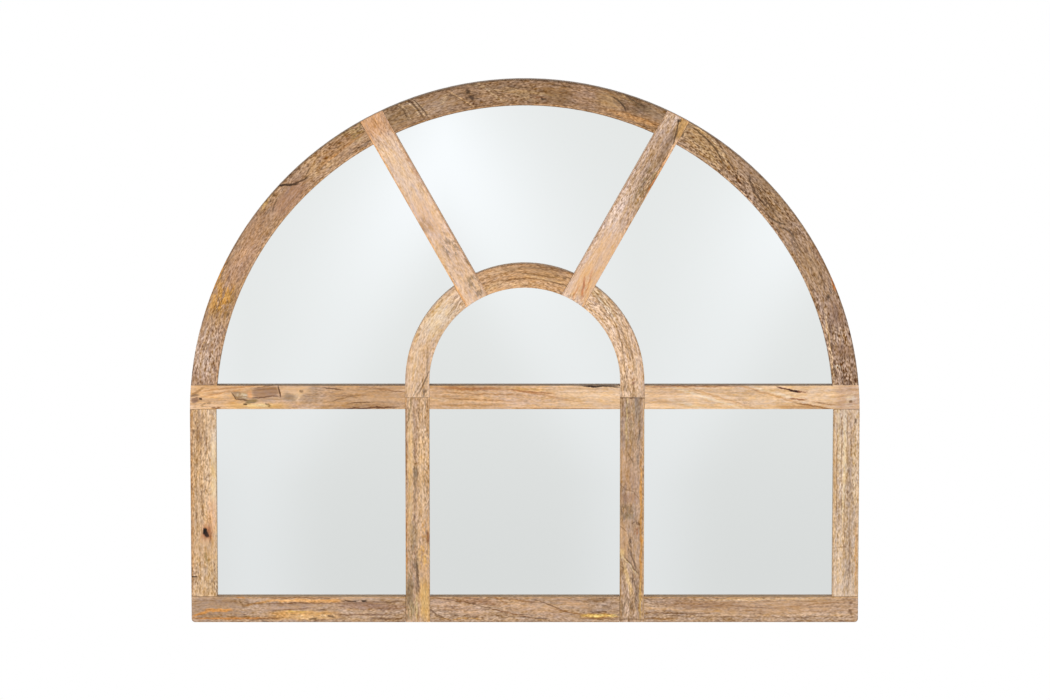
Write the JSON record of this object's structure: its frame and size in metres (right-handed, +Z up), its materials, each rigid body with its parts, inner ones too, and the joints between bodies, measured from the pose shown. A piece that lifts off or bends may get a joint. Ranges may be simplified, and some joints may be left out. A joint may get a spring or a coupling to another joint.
{
  "type": "arched wood window mirror",
  "caption": "Arched window-style wall mirror: a flush solid wood frame of rails, posts, spokes and curved members over one sheet of glass, hung by swinging rings on its back.",
  "frame": {"origin": "midway between the pivots of the two hanging rings, in the plane of the frame's back", "axes": "+X to the viewer's right, +Z up, -Y out of the mirror towards the viewer, +Y into the wall"},
  "size_m": [1, 0.0251, 0.8176],
  "materials": {
    "rail_wood": "clear matt finish on mango-like hardwood, edges eased",
    "outer_arch_wood": "clear matt finish on mango-like hardwood, edges eased",
    "spoke_wood": "clear matt finish on mango-like hardwood, edges eased",
    "inner_arch_wood": "clear matt finish on mango-like hardwood, edges eased",
    "post_wood": "clear matt finish on mango-like hardwood, edges eased",
    "mirror_glass": "silvered float glass, polished, painted grey at the back",
    "backing_board": "raw hardboard, smooth brown face",
    "hanger_steel": "zinc-plated steel",
    "screw_steel": "zinc-plated steel, cross-recessed pan heads",
    "bumper_rubber": "matt black rubber"
  },
  "bodies": {
    "frame": {"transom_rail": "rail_wood", "bottom_rail": "rail_wood", "left_stile": "rail_wood", "right_stile": "rail_wood", "outer_arch_left": "outer_arch_wood", "outer_arch_top": "outer_arch_wood", "outer_arch_right": "outer_arch_wood", "left_spoke": "spoke_wood", "right_spoke": "spoke_wood", "inner_arch_left": "inner_arch_wood", "inner_arch_top": "inner_arch_wood", "inner_arch_right": "inner_arch_wood", "left_post": "post_wood", "right_post": "post_wood", "mirror_glass": "mirror_glass", "backing_board": "backing_board", "backing_screw_01": "screw_steel", "backing_screw_02": "screw_steel", "backing_screw_03": "screw_steel", "backing_screw_04": "screw_steel", "backing_screw_05": "screw_steel", "backing_screw_06": "screw_steel", "backing_screw_07": "screw_steel", "backing_screw_08": "screw_steel", "backing_screw_09": "screw_steel", "backing_screw_10": "screw_steel", "backing_screw_11": "screw_steel", "backing_screw_12": "screw_steel", "left_hanger_strap": "hanger_steel", "left_hanger_screw_upper": "screw_steel", "left_hanger_screw_lower": "screw_steel", "right_hanger_strap": "hanger_steel", "right_hanger_screw_upper": "screw_steel", "right_hanger_screw_lower": "screw_steel", "left_wall_bumper": "bumper_rubber", "right_wall_bumper": "bumper_rubber"},
    "left_ring": {"left_hanging_ring": "hanger_steel"},
    "right_ring": {"right_hanging_ring": "hanger_steel"}
  },
  "joints": [
    {"name": "left_ring_swing", "type": "hinge", "parent": "frame", "child": "left_ring", "pos_m": [-0.45857, 0.00305, 0], "axis": [0.9397, 0, -0.342], "range_deg": [0, 180]},
    {"name": "right_ring_swing", "type": "hinge", "parent": "frame", "child": "right_ring", "pos_m": [0.45857, 0.00305, 0], "axis": [0.9397, 0, 0.342], "range_deg": [0, 180]}
  ]
}
